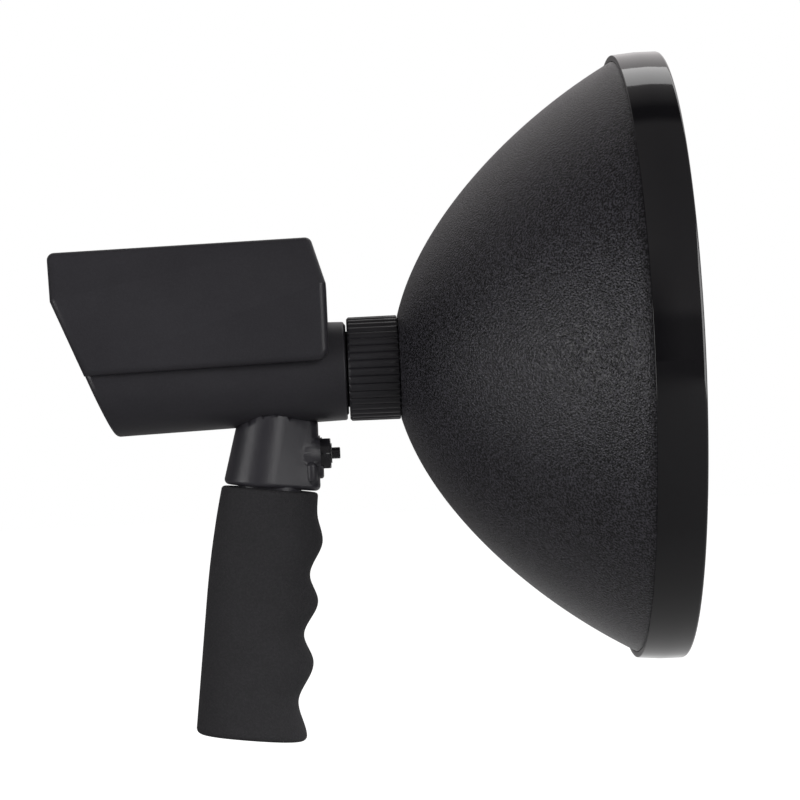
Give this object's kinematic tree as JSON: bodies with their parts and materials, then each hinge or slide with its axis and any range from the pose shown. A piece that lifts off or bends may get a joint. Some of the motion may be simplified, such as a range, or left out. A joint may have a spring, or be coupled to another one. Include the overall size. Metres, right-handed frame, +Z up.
{
  "type": "handheld spotlight",
  "caption": "Handheld marine spotlight with a deep bowl and glossy ring, a ribbed focus collar, a tube with a box housing, and a foam pistol grip with a push switch.",
  "frame": {"origin": "on the lamp's axis, at the middle of the bezel ring's width", "axes": "+X along the beam, out of the lens; +Z up, away from the handle; +Y to the lamp's left as its user holds it"},
  "size_m": [0.2425, 0.24, 0.2663],
  "materials": {
    "bowl_black": "fine grain",
    "ring_black": "gloss",
    "collar_black": "satin",
    "housing_black": "satin",
    "neck_black": "satin",
    "foam_black": "matte foam",
    "seal_black": "matte",
    "clear_glass": "clear",
    "mirror_coat": "polished",
    "lamp_glass": "clear",
    "bright_steel": "bright",
    "black_metal": "satin black",
    "brass": "bright",
    "cast_aluminium": "satin",
    "white_base": "matte",
    "potting_grey": "matte",
    "lead_red": "smooth",
    "lead_black": "smooth"
  },
  "bodies": {
    "body": {"retaining_clip": "bright_steel", "collar_seal": "seal_black", "tube_body": "housing_black", "ballast_cover": "housing_black", "cover_gasket": "seal_black", "cover_screws": "bright_steel", "ballast": "cast_aluminium", "igniter": "potting_grey", "bulb_holder": "white_base", "bulb_base": "white_base", "bulb_glass": "lamp_glass", "arc_tube": "lamp_glass", "return_wire": "bright_steel", "bulb_clip": "bright_steel", "handle_frame": "neck_black", "handle_screws": "bright_steel", "foam_grip": "foam_black", "end_cap": "neck_black", "cap_screws": "bright_steel", "inlet_socket": "black_metal", "inlet_nut": "bright_steel", "inlet_contacts": "brass", "switch_body": "potting_grey", "switch_washer": "black_metal", "switch_nut": "black_metal", "switch_spring": "bright_steel", "switch_terminals": "brass", "supply_leads": "lead_red", "switch_lead": "lead_black", "lamp_leads": "lead_red"},
    "focus_collar": {"focus_collar": "collar_black"},
    "head": {"bowl_shell": "bowl_black", "neck_sleeve": "collar_black", "bezel_ring": "ring_black", "lens": "clear_glass", "lens_gasket": "seal_black", "reflector": "mirror_coat"},
    "switch_button": {"switch_plunger": "black_metal"}
  },
  "joints": [
    {"name": "collar_turn", "type": "hinge", "parent": "body", "child": "focus_collar", "pos_m": [-0.1078, 0, 0], "axis": [1, 0, 0], "range_deg": [0, 270]},
    {"name": "head_slide", "type": "slide", "parent": "body", "child": "head", "axis": [1, 0, 0], "range_m": [0, 0.009]},
    {"name": "switch_press", "type": "slide", "parent": "body", "child": "switch_button", "axis": [-1, 0, 0], "range_m": [0, 0.002], "stiffness_N_per_m": 800, "springref_m": -0.0005}
  ],
  "couplings": [
    {"joint": "collar_turn", "follows": "head_slide", "rad_per_m": 523.5}
  ]
}
